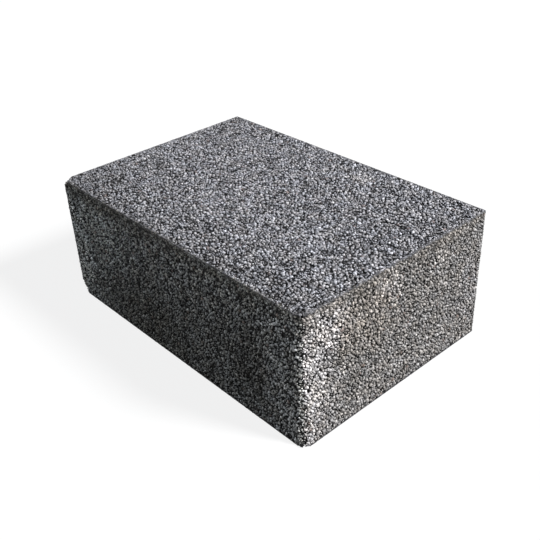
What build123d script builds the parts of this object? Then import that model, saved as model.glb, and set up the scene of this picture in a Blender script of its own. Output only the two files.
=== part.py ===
"""Solid expanded clay masonry block, pressed in one piece.

The frame has +Z up. Its origin is the middle of the bed face that the block stands on,
X runs along the block's length and Y through the thickness of the wall it is made for.
Sizes are in millimetres.
"""

import os

from build123d import *

# Work size: a face of 500 x 200 mm less a 10 mm joint each way, and the wall's thickness
COURSE_LENGTH = 500.0
COURSE_HEIGHT = 200.0
JOINT = 10.0
WALL_THICKNESS = 330.0

length = COURSE_LENGTH - JOINT
width = WALL_THICKNESS
height = COURSE_HEIGHT - JOINT

# Arrises
MOULD_CORNER_RADIUS = 3.0  # three of the vertical arrises, as the mould leaves them
WORN_CORNER_RADIUS = 15.0  # the fourth, rubbed round in handling
TAMPED_EDGE_RADIUS = 1.0  # round the upper face, under the edge of the press head

worn_corner = Vector(length / 2, -width / 2, height)
upper_left = Vector(-length / 2, -width / 2, height)
lower_left = Vector(-length / 2, -width / 2, 0)

# The corners that are knocked off, and how far each break reaches along the edges to the corner
BREAKS = (
    (upper_left, Vector(-15.0, -14.5, 9.0)),
    (lower_left, Vector(-14.0, -7.0, -24.0)),
)


with BuildPart() as clay_block:
    # The mix fills a plain rectangular mould
    with BuildSketch():
        Rectangle(length, width)
    extrude(amount=height)

    # One vertical arris is worn, and the other three are crisp
    arrises = clay_block.edges().filter_by(Axis.Z).sort_by_distance(worn_corner)
    fillet(arrises[0], radius=WORN_CORNER_RADIUS)
    fillet(arrises[1:], radius=MOULD_CORNER_RADIUS)

    # The press head leaves the upper edge slightly round, and the pallet the lower one sharp
    upper_edge = clay_block.faces().sort_by(Axis.Z)[-1].edges()
    fillet(upper_edge, radius=TAMPED_EDGE_RADIUS)

    # A break runs through one point on each of the three edges that met at its corner
    for corner, reach in BREAKS:
        outward = Vector(1 / reach.X, 1 / reach.Y, 1 / reach.Z)
        break_face = Plane(origin=corner - Vector(reach.X, 0, 0), z_dir=outward)
        split(bisect_by=break_face, keep=Keep.BOTTOM)

clay_block.part.label = "clay_block"

os.makedirs("parts", exist_ok=True)
export_step(clay_block.part, "parts/clay_block.step")

print(f"clay_block {length:g} x {width:g} x {height:g} mm")
print(f"volume {clay_block.part.volume / 1e6:.3f} litres")
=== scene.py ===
import math

import bmesh
import bpy
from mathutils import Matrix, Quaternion, Vector


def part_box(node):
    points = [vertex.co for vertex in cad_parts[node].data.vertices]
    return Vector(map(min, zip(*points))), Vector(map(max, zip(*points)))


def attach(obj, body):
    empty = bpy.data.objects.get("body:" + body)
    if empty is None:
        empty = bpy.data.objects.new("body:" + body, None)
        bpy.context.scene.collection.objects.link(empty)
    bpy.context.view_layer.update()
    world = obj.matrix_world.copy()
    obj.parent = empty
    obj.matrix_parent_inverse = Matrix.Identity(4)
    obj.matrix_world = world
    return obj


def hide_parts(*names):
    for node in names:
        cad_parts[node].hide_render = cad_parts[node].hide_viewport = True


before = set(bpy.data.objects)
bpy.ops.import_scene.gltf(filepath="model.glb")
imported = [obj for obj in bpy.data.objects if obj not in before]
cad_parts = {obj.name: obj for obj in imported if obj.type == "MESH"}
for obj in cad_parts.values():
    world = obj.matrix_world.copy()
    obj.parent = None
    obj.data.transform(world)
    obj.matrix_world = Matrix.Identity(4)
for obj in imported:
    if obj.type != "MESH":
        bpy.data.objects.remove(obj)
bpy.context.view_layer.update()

# The camera. It stands where the photograph was taken from: above the block, off its worn front
# arris. Place, aim, roll and lens are fitted to the block's outline in the photograph.
CAMERA_PLACE = Vector((0.7352, -0.6304, 0.6739))
CAMERA_AIM = Vector((0.0311, -0.0191, 0.0904))
CAMERA_ROLL = math.radians(-2.73)
LENS_MM = 53.03

lens = bpy.data.cameras.new("camera")
lens.lens = LENS_MM
camera = bpy.data.objects.new("camera", lens)
camera.location = CAMERA_PLACE
camera.rotation_mode = "QUATERNION"
level = (CAMERA_AIM - CAMERA_PLACE).to_track_quat("-Z", "Y")
camera.rotation_quaternion = level @ Quaternion((0, 0, 1), CAMERA_ROLL)
bpy.context.scene.collection.objects.link(camera)
bpy.context.scene.camera = camera


# The cement paste. A lean mix of cement and water coats the clay and glues it where granules
# touch, and the pores between them stay open. The press draws paste to the mould's walls, most of
# all to a strip under the upper edge.
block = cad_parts["clay_block"]
block_low, block_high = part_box("clay_block")
block_middle = (block_low + block_high) / 2
block_half = (block_high - block_low) / 2
worn_corner = Vector((block_high.x, block_low.y, 0))

CELL = 0.0035  # of the paste's mesh
SAME_PLACE = 1e-6  # within which two corners of the block's mesh are one
FLAT_ANGLE = 1e-3  # under which two of its facets are one face
PORE_DEPTH = 0.0037  # from a face down to the paste between granules
FILM_RISE = 0.0019  # by which the paste comes up where it forms a film
FILM_RISE_ON_ENDS = 0.0027
FILM_SIZE = 0.006
FILM_LEVELS = (-0.08, 0.14)  # of the cloudy pattern, for open pores and for a full film
STRIP_DEPTH = 0.0019  # from a wall to the paste in the closed strip
STRIP_HEIGHT = 0.0145
STRIP_FADE = 0.007  # below which the strip has given way to open pores
STRIP_RAGGED = (0.018, 0.045)  # size and swing of its lower side
EDGE_DEPTH = 0.0002  # from a face to the paste along the block's edges
EDGE_REACH = 0.0020
EDGE_FADE = 0.0025
SIDE_STEP = (0.0001, 0.0009)  # a side's share begins and is full where its face is nearer by this
CLOUD_DETAIL = 3.0
CLOUD_ROUGHNESS = 0.6
NOISE_MIDDLE = 0.5  # the level about which a noise swings

PASTE_GREY = "#9A9A9A"
EDGE_TONE = 0.52  # of the paste along the edges, where dirt and shade gather
SAND_SIZE = 0.0014  # coarser than the real sand, so that it shows
SAND_DETAIL = 2.0
SAND_SHADES = (0.35, 0.65, 0.4, 1.5)  # two levels of the pattern, and the brightness at each
SAND_HEIGHT = 0.0006
BUMP_STRENGTH = 0.7


def linear(colour):
    """A sRGB hex colour as the linear numbers that a node takes."""
    parts = [int(colour[i : i + 2], 16) / 255 for i in (1, 3, 5)]
    return [c / 12.92 if c <= 0.04045 else ((c + 0.055) / 1.055) ** 2.4 for c in parts] + [1.0]


def add_node(tree, kind, inputs=(), **settings):
    """Adds a node. Its inputs, in order or by name, take values, sockets or nodes' first outputs."""
    made = tree.nodes.new(kind)
    for setting, value in settings.items():
        setattr(made, setting, value)
    sockets = [s for s in made.inputs if s.enabled]
    for key, value in inputs.items() if isinstance(inputs, dict) else enumerate(inputs):
        socket = sockets[key] if isinstance(key, int) else next(s for s in sockets if s.name == key)
        for part in value if isinstance(value, list) and socket.is_multi_input else (value,):
            if isinstance(part, bpy.types.Node):
                part = next(s for s in part.outputs if s.enabled)
            if isinstance(part, bpy.types.NodeSocket):
                tree.links.new(part, socket)
            else:
                socket.default_value = part
    return made


def new_tree(name, sizes):
    """A geometry tree with a mesh, these named sizes and a material for inputs."""
    tree = bpy.data.node_groups.new(name, "GeometryNodeTree")
    tree.is_modifier = True
    kinds = {"Mesh": "Geometry", **sizes, "Material": "Material"}
    for label, kind in kinds.items():
        tree.interface.new_socket(label, in_out="INPUT", socket_type=f"NodeSocket{kind}")
    tree.interface.new_socket("Result", in_out="OUTPUT", socket_type="NodeSocketGeometry")
    return tree, add_node(tree, "NodeGroupInput").outputs


def grown(name, mesh, tree, values):
    """Makes a piece: the plain mesh that the tree makes of a mesh with these values."""
    seed = bpy.data.objects.new(name + "_seed", mesh)
    bpy.context.scene.collection.objects.link(seed)
    modifier = seed.modifiers.new(tree.name, "NODES")
    modifier.node_group = tree
    sockets = {s.name: s.identifier for s in tree.interface.items_tree if s.in_out == "INPUT"}
    for label, value in values.items():
        modifier[sockets[label]] = value
    evaluated = seed.evaluated_get(bpy.context.evaluated_depsgraph_get())
    result = bpy.data.meshes.new_from_object(evaluated)
    bpy.data.objects.remove(seed)
    result.name = name
    piece = bpy.data.objects.new(name, result)
    bpy.context.scene.collection.objects.link(piece)
    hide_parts("clay_block")
    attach(piece, "root")


def block_surface():
    """The block's surface, merged and cut into cells. Each vertex keeps how much further than a
    face it has to move for its faces to move evenly."""
    shell = bmesh.new()
    shell.from_mesh(block.data)
    bmesh.ops.remove_doubles(shell, verts=shell.verts, dist=SAME_PLACE)
    bmesh.ops.dissolve_limit(shell, angle_limit=FLAT_ANGLE, verts=shell.verts, edges=shell.edges)
    for axis in range(3):
        normal = Vector((0, 0, 0))
        normal[axis] = 1
        cells = round(2 * block_half[axis] / CELL)
        for cut in range(1, cells):
            place = normal * (block_low[axis] + 2 * block_half[axis] * cut / cells)
            everything = shell.verts[:] + shell.edges[:] + shell.faces[:]
            bmesh.ops.bisect_plane(shell, geom=everything, plane_co=place, plane_no=normal)
    shell.normal_update()
    reach = shell.verts.layers.float.new("corner_reach")
    for vert in shell.verts:
        vert[reach] = vert.calc_shell_factor()
    mesh = bpy.data.meshes.new("block_surface")
    shell.to_mesh(mesh)
    shell.free()
    return mesh


def face_gaps(tree, place):
    """How far a place lies under the block's faces: along X and Y to the nearer wall, and under
    the top or over the bottom."""
    offset = add_node(tree, "ShaderNodeVectorMath", (place, block_middle), operation="SUBTRACT")
    reach = add_node(tree, "ShaderNodeVectorMath", (offset,), operation="ABSOLUTE")
    gaps = add_node(tree, "ShaderNodeVectorMath", (block_half, reach), operation="SUBTRACT")
    return add_node(tree, "ShaderNodeSeparateXYZ", (gaps,)).outputs


def edge_gap(tree, place):
    """How far a place on the surface lies from the nearest of the block's twelve edges."""
    gaps = face_gaps(tree, place)
    lesser = add_node(tree, "ShaderNodeMath", (gaps["X"], gaps["Y"]), operation="MINIMUM")
    greater = add_node(tree, "ShaderNodeMath", (gaps["X"], gaps["Y"]), operation="MAXIMUM")
    nearer = add_node(tree, "ShaderNodeMath", (greater, gaps["Z"]), operation="MINIMUM")
    return add_node(tree, "ShaderNodeMath", (lesser, nearer), operation="MAXIMUM")


def waver(tree, place, size, swing=1.0):
    """A cloudy pattern of this size, swinging about 0."""
    values = {"Vector": place, "Scale": 1 / size, "Detail": CLOUD_DETAIL, "Roughness": CLOUD_ROUGHNESS}
    cloud = add_node(tree, "ShaderNodeTexNoise", values)
    level = add_node(tree, "ShaderNodeMath", (cloud, NOISE_MIDDLE), operation="SUBTRACT")
    return add_node(tree, "ShaderNodeMath", (level, swing), operation="MULTIPLY")


def smooth_step(tree, value, start, end, low=0.0, high=1.0):
    """Goes smoothly from the low to the high number as a value goes from start to end."""
    limits = (value, start, end, low, high)
    return add_node(tree, "ShaderNodeMapRange", limits, interpolation_type="SMOOTHSTEP")


def wall_share(tree, place):
    """1 on the four walls and 0 on the top and bottom."""
    gaps = face_gaps(tree, place)
    nearer = add_node(tree, "ShaderNodeMath", (gaps["X"], gaps["Y"]), operation="MINIMUM")
    lead = add_node(tree, "ShaderNodeMath", (gaps["Z"], nearer), operation="SUBTRACT")
    return smooth_step(tree, lead, *SIDE_STEP)


def end_share(tree, place):
    """1 on the two ends and 0 on the other faces."""
    gaps = face_gaps(tree, place)
    nearer = add_node(tree, "ShaderNodeMath", (gaps["Y"], gaps["Z"]), operation="MINIMUM")
    lead = add_node(tree, "ShaderNodeMath", (nearer, gaps["X"]), operation="SUBTRACT")
    return smooth_step(tree, lead, *SIDE_STEP)


def strip_share(tree, place):
    """1 in the closed strip on the walls under the upper edge, with a ragged lower side."""
    height = add_node(tree, "ShaderNodeSeparateXYZ", (place,)).outputs["Z"]
    below = add_node(tree, "ShaderNodeMath", (block_high.z, height), operation="SUBTRACT")
    ragged = waver(tree, place, *STRIP_RAGGED)
    lower = add_node(tree, "ShaderNodeMath", (ragged, below), operation="ADD")
    strip = smooth_step(tree, lower, STRIP_HEIGHT + STRIP_FADE, STRIP_HEIGHT)
    return add_node(tree, "ShaderNodeMath", (strip, wall_share(tree, place)), operation="MULTIPLY")


def draw_in(tree, mesh, depth):
    """Moves every face of the mesh inwards by a depth."""
    normal = add_node(tree, "GeometryNodeInputNormal")
    reach = add_node(tree, "GeometryNodeInputNamedAttribute", ("corner_reach",), data_type="FLOAT")
    way = add_node(tree, "ShaderNodeMath", (reach, depth), operation="MULTIPLY")
    inward = add_node(tree, "ShaderNodeMath", (way, -1.0), operation="MULTIPLY")
    offset = add_node(tree, "ShaderNodeVectorMath", {"Vector": normal, "Scale": inward}, operation="SCALE")
    return add_node(tree, "GeometryNodeSetPosition", {"Geometry": mesh, "Offset": offset})


def paste_tree():
    """Sinks the block's surface to the paste's level, which is high in the strip and at edges."""
    sizes = ("Pore Depth", "Film Rise", "Film Rise on Ends", "Strip Depth", "Edge Depth")
    tree, given = new_tree("paste level", dict.fromkeys(sizes, "Float"))
    place = add_node(tree, "GeometryNodeInputPosition")
    ends = end_share(tree, place)
    patches = smooth_step(tree, waver(tree, place, FILM_SIZE), *FILM_LEVELS)
    levels = (ends, given["Film Rise"], given["Film Rise on Ends"])
    rise = add_node(tree, "ShaderNodeMix", levels, data_type="FLOAT")
    rise = add_node(tree, "ShaderNodeMath", (patches, rise), operation="MULTIPLY")
    pores = add_node(tree, "ShaderNodeMath", (given["Pore Depth"], rise), operation="SUBTRACT")
    levels = (strip_share(tree, place), pores, given["Strip Depth"])
    walls = add_node(tree, "ShaderNodeMix", levels, data_type="FLOAT")
    edges = smooth_step(tree, edge_gap(tree, place), EDGE_REACH + EDGE_FADE, EDGE_REACH)
    depth = add_node(tree, "ShaderNodeMix", (edges, walls, given["Edge Depth"]), data_type="FLOAT")
    values = {"Geometry": given["Mesh"], "Name": "paste_depth", "Value": depth}
    noted = add_node(tree, "GeometryNodeStoreNamedAttribute", values, data_type="FLOAT", domain="POINT")
    kept_depth = add_node(tree, "GeometryNodeInputNamedAttribute", ("paste_depth",), data_type="FLOAT")
    sunk = draw_in(tree, noted, kept_depth)
    smooth = add_node(tree, "GeometryNodeSetShadeSmooth", {"Geometry": sunk})
    finished = {"Geometry": smooth, "Material": given["Material"]}
    add_node(tree, "NodeGroupOutput", (add_node(tree, "GeometryNodeSetMaterial", finished),))
    return tree


# What colours the whole surface alike: paste and granules lie under the same film. The tones multiply the
# concrete's own colour. Some of them are painted light and shade, as marked below.
# Painted light: the top's cooler tint stands in for blue sky light falling on it, and the walls' warmer tint
# for warm light on the ends
TOP_TONE_AND_SKY_TINT = (0.997, 0.996, 1.066)
WALL_TONE_AND_WARM_TINT = (0.912, 0.896, 0.882)
END_TONE = (1.02, 1.00, 0.998)  # of the two ends, over the walls' own
LONG_SIDE_TONE = (1.155, 1.175, 1.145)  # of the two long sides, over the walls' own
LONG_SIDE_PORE_SHADE = 1.22  # how much deeper the pores of the long sides look than they are: painted shade in the pores of the sides that lie in the shade
STRIP_TONE = (0.905, 0.89, 0.865)
WORN_TONE = (1.42, 1.42, 1.44)
WORN_REACH = 0.018  # of the rubbed pale zone, either side of the worn arris
WORN_FADE = 0.056
WORN_RAGGED = (0.03, 0.06)  # size and swing of the zone's sides
RIM_TONE = 0.56  # of the block along its edges
RIM_STEP = (0.0006, 0.0036)  # distance from an edge, over which that tone fades out
TOP_EDGE_TONE = 0.66  # of the top at its front edge, which is darker there
TOP_EDGE_FADE = 0.110
TOP_EDGE_CURVE = 0.5  # power of the fading. Under 1, most of it comes near the edge
DEEP_START = 0.0006  # depth under a face where pores and flanks begin to darken, with painted shade and dust
DEEP_END = 0.0025
DEEP_SHADE_AND_DUST = 0.06
MOTTLING_SIZE = 0.011
MOTTLING_SHADES = (-0.16, 0.16, 0.94, 1.06)  # two levels of the pattern, and the brightness at each
HUE_SIZE = 0.016
HUE_LEVELS = (-0.12, 0.12)
COOL_TONE = (0.985, 1.0, 1.02)
WARM_TONE = (1.02, 1.0, 0.97)
PATCH_RAGGED = (0.020, 1.6)  # size and swing of a patch's outline
PATCH_STEP = (1.25, 0.45)  # of a patch's reach, from where it begins to where it is full
STAINS_AND_PAINTED_LIGHT = (  # patches of dust, rubbing and damp, and of painted light and shade on the long side and the worn arris: middle, reach along X, Y and Z, and tone
    ((0.245, -0.152, 0.085), (0.014, 0.022, 0.105), (1.22, 1.22, 1.22)),
    # painted highlight down the worn arris
    ((0.245, -0.164, 0.090), (0.009, 0.009, 0.120), (1.20, 1.20, 1.20)),
    # painted shade on the long side next to the worn arris, where it turns from the lamp
    ((0.233, -0.165, 0.085), (0.014, 0.010, 0.130), (0.90, 0.90, 0.90)),
    ((0.208, -0.165, 0.095), (0.040, 0.010, 0.110), (1.36, 1.36, 1.37)),
    ((0.245, -0.105, 0.150), (0.010, 0.034, 0.036), (1.38, 1.38, 1.40)),
    ((0.245, -0.022, 0.166), (0.010, 0.026, 0.024), (1.42, 1.42, 1.44)),
    ((0.245, 0.075, 0.148), (0.010, 0.022, 0.026), (1.24, 1.24, 1.24)),
    ((0.245, -0.060, 0.130), (0.010, 0.060, 0.050), (1.02, 0.98, 0.93)),
    ((0.245, 0.142, 0.080), (0.010, 0.026, 0.050), (1.14, 1.15, 1.18)),
    # painted light: the left part of the long side lighter and cooler, as if lit from the left
    ((-0.175, -0.165, 0.125), (0.095, 0.010, 0.064), (1.46, 1.49, 1.50)),
    # painted light: the long side lighter at its left end
    ((-0.236, -0.165, 0.080), (0.042, 0.010, 0.115), (1.41, 1.42, 1.43)),
    # painted light: the long side lighter under its upper edge
    ((-0.020, -0.165, 0.150), (0.220, 0.010, 0.045), (1.38, 1.38, 1.39)),
    # painted shade: the long side darker towards the floor
    ((-0.060, -0.165, 0.030), (0.110, 0.010, 0.050), (0.80, 0.79, 0.76)),
    ((0.155, -0.165, 0.075), (0.036, 0.010, 0.055), (0.78, 0.77, 0.76)),
    ((-0.110, -0.165, 0.184), (0.140, 0.010, 0.016), (0.84, 0.83, 0.82)),
    ((0.130, -0.165, 0.176), (0.130, 0.010, 0.022), (1.22, 1.22, 1.21)),
    ((0.236, -0.158, 0.184), (0.010, 0.009, 0.011), (0.62, 0.62, 0.63)),
    # painted highlight higher up the worn arris
    ((0.240, -0.161, 0.125), (0.009, 0.009, 0.040), (1.22, 1.22, 1.22)),
    # painted light: the long side lighter at its lower left
    ((-0.215, -0.165, 0.040), (0.052, 0.010, 0.052), (1.50, 1.50, 1.50)),
    ((0.245, -0.138, 0.020), (0.010, 0.026, 0.032), (0.80, 0.80, 0.80)),
    ((0.065, 0.130, 0.190), (0.022, 0.018, 0.010), (1.30, 1.28, 1.24)),
    ((-0.215, -0.115, 0.190), (0.060, 0.055, 0.010), (0.87, 0.87, 0.87)),
    ((0.200, 0.020, 0.190), (0.190, 0.260, 0.010), (1.10, 1.10, 1.10)),
    ((-0.260, 0.000, 0.190), (0.180, 0.260, 0.010), (0.91, 0.91, 0.91)),
)


def multiplied(tree, first, second):
    """The product of two colours or vectors."""
    return add_node(tree, "ShaderNodeVectorMath", (first, second), operation="MULTIPLY")


def faded(tree, share, tone, base=(1.0, 1.0, 1.0)):
    """A tone where the share is 1, and the base where it is 0."""
    return add_node(tree, "ShaderNodeMix", (share, base, tone), data_type="VECTOR")


def surface_tone(tree, place, depth):
    """The tone of a place on the block at a depth under its face: that of its side, with a painted cool sky
    tint on the top and a painted warm tint on the walls, strip, worn arris, the top's front edge, stains and
    patches of painted light and shade, mottling, pores darkened by painted shade and dust, and rims."""
    wall = wall_share(tree, place)
    tone = faded(tree, wall, WALL_TONE_AND_WARM_TINT, TOP_TONE_AND_SKY_TINT)
    ends = end_share(tree, place)
    tone = multiplied(tree, tone, faded(tree, ends, END_TONE))
    long_side = add_node(tree, "ShaderNodeMath", (wall, ends), operation="SUBTRACT", use_clamp=True)
    tone = multiplied(tree, tone, faded(tree, long_side, LONG_SIDE_TONE))
    tone = multiplied(tree, tone, faded(tree, strip_share(tree, place), STRIP_TONE))

    flat = add_node(tree, "ShaderNodeVectorMath", (place, (1, 1, 0)), operation="MULTIPLY")
    apart = add_node(tree, "ShaderNodeVectorMath", (flat, worn_corner), operation="DISTANCE")
    far = (apart.outputs["Value"], waver(tree, place, *WORN_RAGGED))
    far = add_node(tree, "ShaderNodeMath", far, operation="ADD")
    worn = smooth_step(tree, far, WORN_REACH + WORN_FADE, WORN_REACH)
    worn = add_node(tree, "ShaderNodeMath", (worn, wall), operation="MULTIPLY")
    tone = multiplied(tree, tone, faded(tree, worn, WORN_TONE))

    across = add_node(tree, "ShaderNodeSeparateXYZ", (place,)).outputs["Y"]
    inward = add_node(tree, "ShaderNodeMapRange", (across, block_low.y, block_low.y + TOP_EDGE_FADE))
    inward = add_node(tree, "ShaderNodeMath", (inward, TOP_EDGE_CURVE), operation="POWER")
    lit = add_node(tree, "ShaderNodeMath", (inward, wall), operation="MAXIMUM")
    tone = multiplied(tree, tone, faded(tree, lit, (1, 1, 1), (TOP_EDGE_TONE,) * 3))

    ragged = waver(tree, place, *PATCH_RAGGED)
    # Each patch multiplies the tone: stains and wear, and painted light and shade
    for centre, reach, patch_tone in STAINS_AND_PAINTED_LIGHT:
        offset = add_node(tree, "ShaderNodeVectorMath", (place, centre), operation="SUBTRACT")
        scaled = add_node(tree, "ShaderNodeVectorMath", (offset, reach), operation="DIVIDE")
        length = add_node(tree, "ShaderNodeVectorMath", (scaled,), operation="LENGTH")
        edge = (length.outputs["Value"], ragged)
        edge = add_node(tree, "ShaderNodeMath", edge, operation="ADD")
        tone = multiplied(tree, tone, faded(tree, smooth_step(tree, edge, *PATCH_STEP), patch_tone))

    mottling = smooth_step(tree, waver(tree, place, MOTTLING_SIZE), *MOTTLING_SHADES)
    # Painted shade: the pores of the long sides darken more than the others
    long_side_shading = smooth_step(tree, long_side, 0.0, 1.0, 1.0, LONG_SIDE_PORE_SHADE)
    depth = add_node(tree, "ShaderNodeMath", (depth, long_side_shading), operation="MULTIPLY")
    # Painted shade and dust: pores and flanks darken with their depth under the face
    shade_and_dust = smooth_step(tree, depth, DEEP_START, DEEP_END, 1.0, DEEP_SHADE_AND_DUST)
    rim = smooth_step(tree, edge_gap(tree, place), *RIM_STEP, RIM_TONE, 1.0)
    shade = add_node(tree, "ShaderNodeMath", (mottling, shade_and_dust), operation="MULTIPLY")
    shade = add_node(tree, "ShaderNodeMath", (shade, rim), operation="MULTIPLY")
    tone = add_node(tree, "ShaderNodeVectorMath", {"Vector": tone, "Scale": shade}, operation="SCALE")
    warmth = smooth_step(tree, waver(tree, place, HUE_SIZE), *HUE_LEVELS)
    return multiplied(tree, tone, faded(tree, warmth, WARM_TONE, COOL_TONE))


DRY_ROUGHNESS = 0.95
DRY_SPECULAR = 0.2


def concrete_shader(name):
    """A material whose shader is rough and hardly shines, as dry porous concrete is."""
    material = bpy.data.materials.new(name)
    material.use_nodes = True
    tree = material.node_tree
    shader = tree.nodes["Principled BSDF"]
    shader.inputs["Roughness"].default_value = DRY_ROUGHNESS
    shader.inputs["Specular IOR Level"].default_value = DRY_SPECULAR
    return material, tree, shader


# Dry cement paste: a dull sandy grey where it comes up as a film, and near black down in the pores, where
# painted shade and dust darken it
paste_material, tree, shader = concrete_shader("cement paste")
place = add_node(tree, "ShaderNodeTexCoord").outputs["Object"]
depth = add_node(tree, "ShaderNodeAttribute", attribute_name="paste_depth").outputs["Fac"]
toned = multiplied(tree, surface_tone(tree, place, depth), linear(PASTE_GREY)[:3])
values = {"Vector": place, "Scale": 1 / SAND_SIZE, "Detail": SAND_DETAIL}
sand = add_node(tree, "ShaderNodeTexNoise", values)
grit = add_node(tree, "ShaderNodeMapRange", (sand, *SAND_SHADES))
gap = edge_gap(tree, place)
edges = smooth_step(tree, gap, EDGE_REACH + EDGE_FADE, EDGE_REACH, 1.0, EDGE_TONE)
shade = add_node(tree, "ShaderNodeMath", (grit, edges), operation="MULTIPLY")
coloured = add_node(tree, "ShaderNodeVectorMath", {"Vector": toned, "Scale": shade}, operation="SCALE")
tree.links.new(coloured.outputs["Vector"], shader.inputs["Base Color"])
bump = {"Height": sand, "Strength": BUMP_STRENGTH, "Distance": SAND_HEIGHT}
tree.links.new(add_node(tree, "ShaderNodeBump", bump).outputs[0], shader.inputs["Normal"])

surface = block_surface()
grown(
    "cement_paste",
    surface,
    paste_tree(),
    {
        "Pore Depth": PORE_DEPTH,
        "Film Rise": FILM_RISE,
        "Film Rise on Ends": FILM_RISE_ON_ENDS,
        "Strip Depth": STRIP_DEPTH,
        "Edge Depth": EDGE_DEPTH,
        "Material": paste_material,
    },
)


# The clay granules. Clay pellets are bloated in a kiln to light round balls with a hard skin, and
# some are crushed to grit. Pressed together in the mould, those at its walls end flush with the
# block's faces. Fines gather along the edges.
GRANULES = {  # least spacing, most per square metre, radii, and how far those before it keep off
    "Big": {"Spacing": 0.0080, "Crowd": 3e5, "Smallest": 0.0025, "Largest": 0.0032, "Clearance": 0.0},
    "Small": {"Spacing": 0.0036, "Crowd": 9e5, "Smallest": 0.0017, "Largest": 0.0024, "Clearance": 0.0040},
    "Grit": {"Spacing": 0.0024, "Crowd": 2e6, "Smallest": 0.0009, "Largest": 0.0014, "Clearance": 0.0022},
}
NO_GRANULES = {"Spacing": 0.1, "Crowd": 0.0, "Smallest": 0.0, "Largest": 0.0, "Clearance": 0.0}
FINES = {"Spacing": 0.0025, "Crowd": 2e6, "Smallest": 0.0010, "Largest": 0.0017, "Clearance": 0.0}
FINES_REACH = 0.0036  # from the edges
ANYWHERE = 1.0
THINNING = 0.85  # of the spacing. Points that come nearer on the surface become one
SLIGHT = 1e-7  # under which two distances count as the same
PRESS = 0.00045  # by which the mould flattens a granule
PRESS_ON_ENDS = 0.00105
SINKING = 0.0021  # most that a granule lies behind the face. Most lie far less deep
SINKING_ON_ENDS = 0.0017
SINKING_CURVE = 3.0  # power of an even draw. Over 1, most granules stay near the face
LEAST_STRETCH = 0.85
MOST_STRETCH = 1.2
DENTS = 0.0010
DENT_SIZE = 0.0024
SEED = 3
SEED_STEP = 100  # from one size of granule to the next, and what follows is added for each draw
TONE_SEED = 11
RADIUS_SEED = 13
STRETCH_SEED = 14
TURN_SEED = 15
SINKING_SEED = 16

GRANULE_GREYS = (  # share of the granules up to each grey. A few are burnt slightly red
    (0.010, "#8F8581"),
    (0.02, "#888888"),
    (0.30, "#A4A4A4"),
    (0.60, "#B2B2B2"),
    (0.90, "#C2C2C2"),
    (0.97, "#CECECE"),
)
SKIN_SIZE = 0.0023  # of the speckle, coarser than the pores of the real skin, so that it shows
SKIN_DETAIL = 3.0
SKIN_SHADES = (0.35, 0.65, 0.38, 1.52)  # two levels of the pattern, and the brightness at each
SKIN_HEIGHT = 0.0005

SIDES = {
    "top": (0, 0, 1),
    "bottom": (0, 0, -1),
    "front": (0, -1, 0),
    "back": (0, 1, 0),
    "right_end": (1, 0, 0),
    "left_end": (-1, 0, 0),
}


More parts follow.
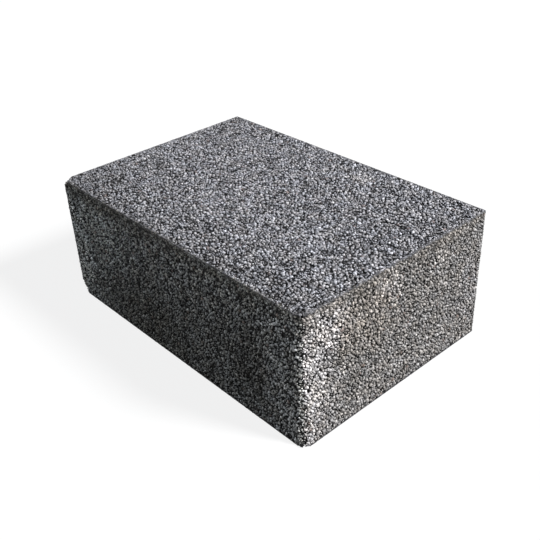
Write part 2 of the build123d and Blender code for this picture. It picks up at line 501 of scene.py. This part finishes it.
def packed_granules(tree, given, kind, ball, seed, fixed):
    """Granules of one size, spread over the block's surface clear of those already fixed. Gives
    those on the wanted part, and the points of all. The points are spread on the block's plain box,
    so that no narrow facet lines them up, then carried to the surface and thinned where they crowd."""
    place = add_node(tree, "GeometryNodeInputPosition")
    box = add_node(tree, "GeometryNodeMeshCube", {"Size": 2 * block_half}).outputs["Mesh"]
    box = add_node(tree, "GeometryNodeTransform", {"Geometry": box, "Translation": block_middle})
    spacing = given[f"{kind} Spacing"]
    values = {"Mesh": box, "Distance Min": spacing, "Density Max": given[f"{kind} Crowd"]}
    values["Seed"] = add_node(tree, "ShaderNodeMath", (given["Seed"], seed), operation="ADD")
    spread = add_node(tree, "GeometryNodeDistributePointsOnFaces", values, distribute_method="POISSON")
    near = add_node(tree, "GeometryNodeProximity", {"Geometry": given["Mesh"]}, target_element="FACES")
    values = {"Geometry": spread.outputs["Points"], "Position": near.outputs["Position"]}
    points = add_node(tree, "GeometryNodeSetPosition", values)
    crowded = add_node(tree, "ShaderNodeMath", (spacing, THINNING), operation="MULTIPLY")
    points = add_node(tree, "GeometryNodeMergeByDistance", {"Geometry": points, "Distance": crowded})
    for others, clearance in fixed:
        near = add_node(tree, "GeometryNodeProximity", {"Geometry": others}, target_element="POINTS")
        near = add_node(tree, "ShaderNodeMath", (near.outputs["Distance"], clearance), operation="LESS_THAN")
        values = {"Geometry": points, "Selection": near}
        points = add_node(tree, "GeometryNodeDeleteGeometry", values, domain="POINT")

    gaps = face_gaps(tree, place)
    least = add_node(tree, "ShaderNodeMath", (gaps["X"], gaps["Y"]), operation="MINIMUM")
    least = add_node(tree, "ShaderNodeMath", (least, gaps["Z"]), operation="MINIMUM")
    offset = add_node(tree, "ShaderNodeVectorMath", (place, block_middle), operation="SUBTRACT")
    way = add_node(tree, "ShaderNodeVectorMath", (given["Side"],), operation="ABSOLUTE")
    wall, outward = (
        add_node(tree, "ShaderNodeVectorMath", pair, operation="DOT_PRODUCT").outputs["Value"]
        for pair in ((block_half, way), (offset, given["Side"]))
    )
    own = add_node(tree, "ShaderNodeMath", (wall, outward), operation="SUBTRACT")
    lag = add_node(tree, "ShaderNodeMath", (own, least), operation="SUBTRACT")
    elsewhere = add_node(tree, "ShaderNodeMath", (lag, SLIGHT), operation="GREATER_THAN")
    inside = (edge_gap(tree, place), given["Edge Reach"])
    inside = add_node(tree, "ShaderNodeMath", inside, operation="GREATER_THAN")
    unwanted = add_node(tree, "ShaderNodeMath", (elsewhere, inside), operation="MAXIMUM")
    values = {"Geometry": points, "Selection": unwanted}
    kept = add_node(tree, "GeometryNodeDeleteGeometry", values, domain="POINT")

    normal = add_node(tree, "GeometryNodeInputNormal")
    values = {"Mesh": given["Mesh"], "Value": normal}
    normal = add_node(tree, "GeometryNodeSampleNearestSurface", values, data_type="FLOAT_VECTOR")
    tone = add_node(tree, "FunctionNodeRandomValue", {"Seed": seed + TONE_SEED}, data_type="FLOAT")
    for label, form, value in (
        ("granule_face", "FLOAT_VECTOR", place),
        ("granule_outward", "FLOAT_VECTOR", normal),
        ("granule_tone", "FLOAT", tone),
    ):
        values = {"Geometry": kept, "Name": label, "Value": value}
        kept = add_node(tree, "GeometryNodeStoreNamedAttribute", values, data_type=form, domain="POINT")

    values = {"Min": given[f"{kind} Smallest"], "Max": given[f"{kind} Largest"]}
    values["Seed"] = seed + RADIUS_SEED
    radius = add_node(tree, "FunctionNodeRandomValue", values, data_type="FLOAT")
    chance = add_node(tree, "FunctionNodeRandomValue", {"Seed": seed + SINKING_SEED}, data_type="FLOAT")
    chance = add_node(tree, "ShaderNodeMath", (chance, SINKING_CURVE), operation="POWER")
    sunk = add_node(tree, "ShaderNodeMath", (chance, given["Sinking"]), operation="MULTIPLY")
    sunk = add_node(tree, "ShaderNodeMath", (sunk, given["Press"]), operation="SUBTRACT")
    inward = add_node(tree, "ShaderNodeMath", (radius, sunk), operation="ADD")
    inward = add_node(tree, "ShaderNodeMath", (inward, -1.0), operation="MULTIPLY")
    outward = add_node(
        tree, "GeometryNodeInputNamedAttribute", ("granule_outward",), data_type="FLOAT_VECTOR"
    )
    offset = add_node(tree, "ShaderNodeVectorMath", {"Vector": outward, "Scale": inward}, operation="SCALE")
    sunken = add_node(tree, "GeometryNodeSetPosition", {"Geometry": kept, "Offset": offset})

    values = {"Min": (LEAST_STRETCH,) * 3, "Max": (MOST_STRETCH,) * 3, "Seed": seed + STRETCH_SEED}
    stretch = add_node(tree, "FunctionNodeRandomValue", values, data_type="FLOAT_VECTOR")
    size = add_node(tree, "ShaderNodeVectorMath", {"Vector": stretch, "Scale": radius}, operation="SCALE")
    values = {"Max": (math.tau,) * 3, "Seed": seed + TURN_SEED}
    turn = add_node(tree, "FunctionNodeRandomValue", values, data_type="FLOAT_VECTOR")
    values = {"Points": sunken, "Instance": ball.outputs["Mesh"], "Rotation": turn, "Scale": size}
    placed = add_node(tree, "GeometryNodeInstanceOnPoints", values)
    return add_node(tree, "GeometryNodeRealizeInstances", {"Geometry": placed}), points


def granule_tree():
    """Packs big granules, small ones between them and grit between those, on one side of the block
    and no further than a reach from its edges. What stands out of the block's box is pressed flat."""
    sizes = {"Side": "Vector", "Edge Reach": "Float", "Press": "Float", "Sinking": "Float"}
    sizes.update({"Dents": "Float", "Seed": "Int"})
    for kind, values in GRANULES.items():
        sizes.update({f"{kind} {label}": "Float" for label in values})
    tree, given = new_tree("pressed granules", sizes)
    pebble = add_node(tree, "GeometryNodeMeshIcoSphere", {"Radius": 1.0, "Subdivisions": 1})
    crumb = add_node(tree, "GeometryNodeMeshUVSphere", {"Segments": 4, "Rings": 2, "Radius": 1.0})
    balls = {"Big": pebble, "Small": pebble, "Grit": crumb}
    packed = []
    fixed = []
    for number, (kind, ball) in enumerate(balls.items()):
        keep_off = [(points, given[f"{kind} Clearance"]) for points in fixed]
        granules, points = packed_granules(tree, given, kind, ball, SEED_STEP * number, keep_off)
        packed.append(granules)
        fixed.append(points)

    place = add_node(tree, "GeometryNodeInputPosition")
    real = add_node(tree, "GeometryNodeJoinGeometry", {"Geometry": packed})
    values = {"Vector": place, "Scale": 1 / DENT_SIZE, "Detail": 0.0}
    lumps = add_node(tree, "ShaderNodeTexNoise", values).outputs["Color"]
    lumps = add_node(tree, "ShaderNodeVectorMath", (lumps, (NOISE_MIDDLE,) * 3), operation="SUBTRACT")
    values = {"Vector": lumps, "Scale": given["Dents"]}
    lumps = add_node(tree, "ShaderNodeVectorMath", values, operation="SCALE")
    lumpy = add_node(tree, "GeometryNodeSetPosition", {"Geometry": real, "Offset": lumps})
    raised = add_node(tree, "ShaderNodeVectorMath", (place, block_low), operation="MAXIMUM")
    flush = add_node(tree, "ShaderNodeVectorMath", (raised, block_high), operation="MINIMUM")
    pressed = add_node(tree, "GeometryNodeSetPosition", {"Geometry": lumpy, "Position": flush})
    face, outward = (
        add_node(tree, "GeometryNodeInputNamedAttribute", (label,), data_type="FLOAT_VECTOR")
        for label in ("granule_face", "granule_outward")
    )
    below = add_node(tree, "ShaderNodeVectorMath", (face, place), operation="SUBTRACT")
    depth = add_node(tree, "ShaderNodeVectorMath", (below, outward), operation="DOT_PRODUCT")
    values = {"Geometry": pressed, "Name": "granule_depth", "Value": depth.outputs["Value"]}
    noted = add_node(tree, "GeometryNodeStoreNamedAttribute", values, data_type="FLOAT", domain="POINT")
    smooth = add_node(tree, "GeometryNodeSetShadeSmooth", {"Geometry": noted})
    finished = {"Geometry": smooth, "Material": given["Material"]}
    add_node(tree, "NodeGroupOutput", (add_node(tree, "GeometryNodeSetMaterial", finished),))
    return tree


# Expanded clay under a film of cement: dull grains, each of its own grey, with a speckled skin, and flanks
# that painted shade and dust darken below the face
granule_material, tree, shader = concrete_shader("expanded clay")
place = add_node(tree, "ShaderNodeTexCoord").outputs["Object"]
face = add_node(tree, "ShaderNodeAttribute", attribute_name="granule_face").outputs["Vector"]
depth = add_node(tree, "ShaderNodeAttribute", attribute_name="granule_depth").outputs["Fac"]
tone = add_node(tree, "ShaderNodeAttribute", attribute_name="granule_tone").outputs["Fac"]
shades = add_node(tree, "ShaderNodeValToRGB", (tone,))
elements = shades.color_ramp.elements
for position, colour in GRANULE_GREYS:
    elements.new(position).color = linear(colour)
elements.remove(elements[0])
elements.remove(elements[-1])
toned = multiplied(tree, shades, surface_tone(tree, face, depth))
values = {"Vector": place, "Scale": 1 / SKIN_SIZE, "Detail": SKIN_DETAIL}
skin = add_node(tree, "ShaderNodeTexNoise", values)
speckle = add_node(tree, "ShaderNodeMapRange", (skin, *SKIN_SHADES))
shaded = add_node(tree, "ShaderNodeVectorMath", {"Vector": toned, "Scale": speckle}, operation="SCALE")
tree.links.new(shaded.outputs["Vector"], shader.inputs["Base Color"])
bump = {"Height": skin, "Strength": BUMP_STRENGTH, "Distance": SKIN_HEIGHT}
tree.links.new(add_node(tree, "ShaderNodeBump", bump).outputs[0], shader.inputs["Normal"])


def granule_values(kinds, side, edge_reach, press, sinking):
    """What the tree takes for granules of these kinds on one side."""
    values = {"Side": side, "Edge Reach": edge_reach, "Press": press, "Sinking": sinking}
    values.update({"Dents": DENTS, "Seed": SEED, "Material": granule_material})
    for kind, numbers in kinds.items():
        values.update({f"{kind} {label}": number for label, number in numbers.items()})
    return values


packing = granule_tree()
for side, direction in SIDES.items():
    sunk = (PRESS_ON_ENDS, SINKING_ON_ENDS) if "end" in side else (PRESS, SINKING)
    grown(f"granules_{side}", surface, packing, granule_values(GRANULES, direction, ANYWHERE, *sunk))
fines = {"Big": NO_GRANULES, "Small": FINES, "Grit": NO_GRANULES}
grown("granules_edges", surface, packing, granule_values(fines, (0, 0, 0), FINES_REACH, PRESS, SINKING))
bpy.data.meshes.remove(surface)


# The floor and the light: a plain floor that the camera sees white, with a soft shadow, one broad
# lamp high off the right end, and a weak one at the left that grazes the long side, which is in
# the shade.
FLOOR_RADIUS = 8.0
FLOOR_SIDES = 64
FLOOR_GREY = "#5C5C5C"  # as it lights the block
FLOOR_GLOW = 0.84  # share of plain white in what is seen of it

floor_shape = bmesh.new()
bmesh.ops.create_circle(floor_shape, cap_ends=True, segments=FLOOR_SIDES, radius=FLOOR_RADIUS)
floor_mesh = bpy.data.meshes.new("floor")
floor_shape.to_mesh(floor_mesh)
floor_shape.free()
floor = bpy.data.objects.new("floor", floor_mesh)
bpy.context.scene.collection.objects.link(floor)


def seen_share(tree):
    """1 for what the camera sees, straight, mirrored or through glass, and 0 for lighting."""
    seen = add_node(tree, "ShaderNodeLightPath").outputs
    rays = (seen["Is Camera Ray"], seen["Is Glossy Ray"])
    straight = add_node(tree, "ShaderNodeMath", rays, operation="MAXIMUM")
    rays = (straight, seen["Is Transmission Ray"])
    return add_node(tree, "ShaderNodeMath", rays, operation="MAXIMUM")


floor_material = bpy.data.materials.new("studio floor")
floor_material.use_nodes = True
tree = floor_material.node_tree
tree.nodes.clear()
white = (1.0, 1.0, 1.0, 1.0)
bare = add_node(tree, "ShaderNodeBsdfDiffuse", (linear(FLOOR_GREY),))
pale = add_node(tree, "ShaderNodeBsdfDiffuse", (white,))
glow = add_node(tree, "ShaderNodeEmission", (white,))
shown = add_node(tree, "ShaderNodeMixShader", (FLOOR_GLOW, pale, glow))
mixed = add_node(tree, "ShaderNodeMixShader", (seen_share(tree), bare, shown))
add_node(tree, "ShaderNodeOutputMaterial", (mixed,))
floor_mesh.materials.append(floor_material)

SKY_STRENGTH = 0.050
SKY_COLOUR = (0.93, 0.98, 1.06, 1.0)

# Each lamp has the direction that it shines from, and its breadth in degrees
KEY = {"from": Vector((0.70, 0.36, 0.66)), "strength": 4.9, "spread": 14, "colour": white}
FILL = {"from": Vector((-0.72, -0.40, 0.36)), "strength": 1.00, "spread": 6, "colour": SKY_COLOUR}

for name, lamp in (("key", KEY), ("fill", FILL)):
    light = bpy.data.lights.new(name, "SUN")
    light.energy = lamp["strength"]
    light.color = lamp["colour"][:3]
    light.angle = math.radians(lamp["spread"])
    holder = bpy.data.objects.new(name, light)
    holder.rotation_mode = "QUATERNION"
    holder.rotation_quaternion = lamp["from"].to_track_quat("Z", "Y")
    bpy.context.scene.collection.objects.link(holder)

world = bpy.data.worlds.new("studio")
world.use_nodes = True
bpy.context.scene.world = world
tree = world.node_tree
tree.nodes.clear()
seen = seen_share(tree)
strength = add_node(tree, "ShaderNodeMix", (seen, SKY_STRENGTH, 1.0), data_type="FLOAT")
blend = {"Factor": seen, "A": SKY_COLOUR, "B": white}
colour = add_node(tree, "ShaderNodeMix", blend, data_type="RGBA")
sky = add_node(tree, "ShaderNodeBackground", (colour, strength))
add_node(tree, "ShaderNodeOutputWorld", (sky,))

bpy.context.scene.view_settings.view_transform = "Standard"
